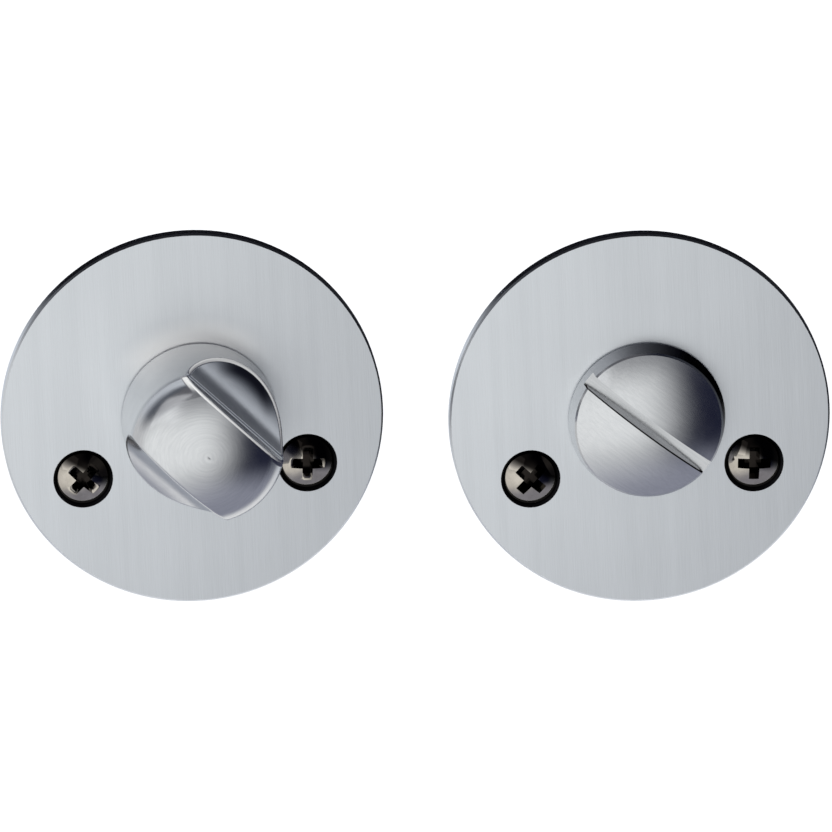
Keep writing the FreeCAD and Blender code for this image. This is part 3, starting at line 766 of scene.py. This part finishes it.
def threaded_bolts():
    """The two inside bolts: the heads as built, with a neck and an M4 thread for each shank."""
    screws = screws_of("inside_bolts")
    shape = bmesh.new()
    shape.from_mesh(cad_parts["inside_bolts"].data)
    bmesh.ops.remove_doubles(shape, verts=shape.verts, dist=MERGE_DISTANCE)
    shanks = [face for face in shape.faces if face.calc_center_median().y > 0]
    bmesh.ops.delete(shape, geom=shanks, context="FACES")
    add_neck(shape, screws)
    bmesh.ops.recalc_face_normals(shape, faces=shape.faces)
    for screw in screws:
        add_thread(shape, screw)
    mesh = bpy.data.meshes.new("inside_bolts_threaded")
    shape.to_mesh(mesh)
    shape.free()
    mesh.shade_smooth()
    mesh.set_sharp_from_angle(angle=SHARP_ANGLE)
    mesh.materials.append(dark_nickel("inside_bolts_nickel", screws))
    bolts = bpy.data.objects.new("inside_bolts_threaded", mesh)
    bpy.context.scene.collection.objects.link(bolts)
    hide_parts("inside_bolts")
    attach(bolts, "roses")


def floor_finish():
    """Matt pale floor, close to white for the camera and clear from underneath."""
    material, nodes, shader = new_material("floor_pale")
    shader.inputs["Base Color"].default_value = FLOOR_COLOUR
    shader.inputs["Roughness"].default_value = 0.9
    shader.inputs["Specular IOR Level"].default_value = 0
    shader.inputs["Emission Color"].default_value = WHITE
    seen = nodes.add("ShaderNodeLightPath").outputs["Is Camera Ray"]
    nodes.link(nodes.maths("MULTIPLY", seen, FLOOR_LIFT), shader.inputs["Emission Strength"])
    clear = nodes.add("ShaderNodeBsdfTransparent")
    choice = nodes.add("ShaderNodeMixShader")
    nodes.link(nodes.add("ShaderNodeNewGeometry").outputs["Backfacing"], choice.inputs[0])
    nodes.link(shader.outputs[0], choice.inputs[1])
    nodes.link(clear.outputs[0], choice.inputs[2])
    output = next(node for node in nodes.tree.nodes if node.type == "OUTPUT_MATERIAL")
    nodes.link(choice.outputs[0], output.inputs[0])
    return material


def lay_floor():
    """Pale floor below the set, unseen in the metal."""
    mesh = bpy.data.meshes.new("floor")
    shape = bmesh.new()
    bmesh.ops.create_grid(shape, x_segments=1, y_segments=1, size=FLOOR_SIZE)
    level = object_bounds()[0].z - FLOOR_DROP
    bmesh.ops.translate(shape, verts=shape.verts, vec=(RELEASE_AXIS.x / 2, 0, level))
    shape.to_mesh(mesh)
    shape.free()
    mesh.materials.append(floor_finish())
    floor = bpy.data.objects.new("floor", mesh)
    bpy.context.scene.collection.objects.link(floor)
    floor.visible_glossy = False


def studio_zones(nodes, direction):
    """The studio without its softbox, by the direction looked in."""
    right, behind, above = nodes.split(direction)
    flat = nodes.vector("NORMALIZE", nodes.vector("MULTIPLY", direction, (1, 1, 0)))
    level = nodes.vector("DOT_PRODUCT", flat, (0, 1, 0))
    top = nodes.product(nodes.spread(above, *TOP_BY_ABOVE), nodes.spread(right, *TOP_BY_RIGHT))
    tone = nodes.blend(top, STUDIO_NAVY, STUDIO_TOP)
    tone = nodes.blend(nodes.spread(level, *SIDE_BY_LEVEL), tone, STUDIO_SIDE)
    tone = nodes.blend(nodes.spread(level, *BACK_BY_LEVEL), tone, STUDIO_BACK)
    floor = nodes.blend(nodes.spread(behind, *WHITE_FLOOR_BY_BEHIND), STUDIO_FLOOR_NEAR, WHITE)
    tone = nodes.blend(nodes.spread(above, *FLOOR_BY_ABOVE), tone, floor)
    left = nodes.product(nodes.spread(right, *LEFT_BY_RIGHT), nodes.spread(above, *LEFT_BY_ABOVE))
    return nodes.blend(left, tone, STUDIO_LEFT)


def softbox_zone(nodes, direction):
    """One where the softbox stands, by the direction looked in."""
    flat = nodes.vector("NORMALIZE", nodes.vector("MULTIPLY", direction, (1, 1, 0)))
    side = nodes.spread(nodes.vector("DOT_PRODUCT", flat, SOFTBOX_MIDDLE), *SOFTBOX_SIDE)
    up = nodes.vector("DOT_PRODUCT", direction, SOFTBOX_UP)
    height = nodes.product(nodes.spread(up, *SOFTBOX_TOP), nodes.spread(up, *SOFTBOX_BOTTOM))
    return nodes.product(side, height)


def light_studio():
    """White all round for the camera; the metal sees the studio's zones and its softbox."""
    world = bpy.data.worlds.new("studio")
    bpy.context.scene.world = world
    world.use_nodes = True
    nodes = Nodes(world.node_tree)
    direction = nodes.add("ShaderNodeTexCoord").outputs["Generated"]
    tone = studio_zones(nodes, direction)
    tone = nodes.blend(softbox_zone(nodes, direction), tone, SOFTBOX_TONE)
    seen = nodes.add("ShaderNodeLightPath").outputs["Is Camera Ray"]
    background = nodes.add("ShaderNodeBackground")
    nodes.link(nodes.blend(seen, tone, WHITE), background.inputs[0])
    output = nodes.add("ShaderNodeOutputWorld")
    nodes.link(background.outputs[0], output.inputs[0])


def add_key_lamp():
    """Weak square soft lamp from the upper left, unseen by the camera."""
    data = bpy.data.lights.new("key_left", "AREA")
    data.shape = "SQUARE"
    data.size = KEY_SIZE
    data.energy = KEY_POWER
    lamp = bpy.data.objects.new("key_left", data)
    bpy.context.scene.collection.objects.link(lamp)
    lamp.location = KEY_PLACE
    lamp.rotation_euler = (KEY_TARGET - KEY_PLACE).to_track_quat("-Z", "Y").to_euler()
    lamp.visible_camera = False


def set_camera():
    """Camera at the photograph's angle, framing both roses as the photograph does."""
    sideways = math.sin(AZIMUTH) * math.cos(ELEVATION)
    forward = -math.cos(AZIMUTH) * math.cos(ELEVATION)
    back = Vector((sideways, forward, math.sin(ELEVATION)))
    turned = (-back).to_track_quat("-Z", "Y") @ Quaternion((0, 0, 1), ROLL)
    right = turned @ Vector((1, 0, 0))
    up = turned @ Vector((0, 1, 0))
    middle = sum(ROSE_CENTRES, Vector()) / 2 + Vector((0, ROSE_FACE, 0))
    aim = middle + right * AIM_RIGHT + up * AIM_UP
    distance = PHOTO_WIDTH_AT_OBJECT * LENS / SENSOR_WIDTH
    data = bpy.data.cameras.new("camera")
    data.lens = LENS
    data.sensor_width = SENSOR_WIDTH
    data.clip_start = distance / 10
    data.clip_end = distance * 10
    camera = bpy.data.objects.new("camera", data)
    bpy.context.scene.collection.objects.link(camera)
    camera.location = aim + back * distance
    camera.rotation_euler = turned.to_euler()
    bpy.context.scene.camera = camera


finish_nodes()
threaded_bolts()
lay_floor()
light_studio()
add_key_lamp()
set_camera()
bpy.context.scene.view_settings.view_transform = "Standard"
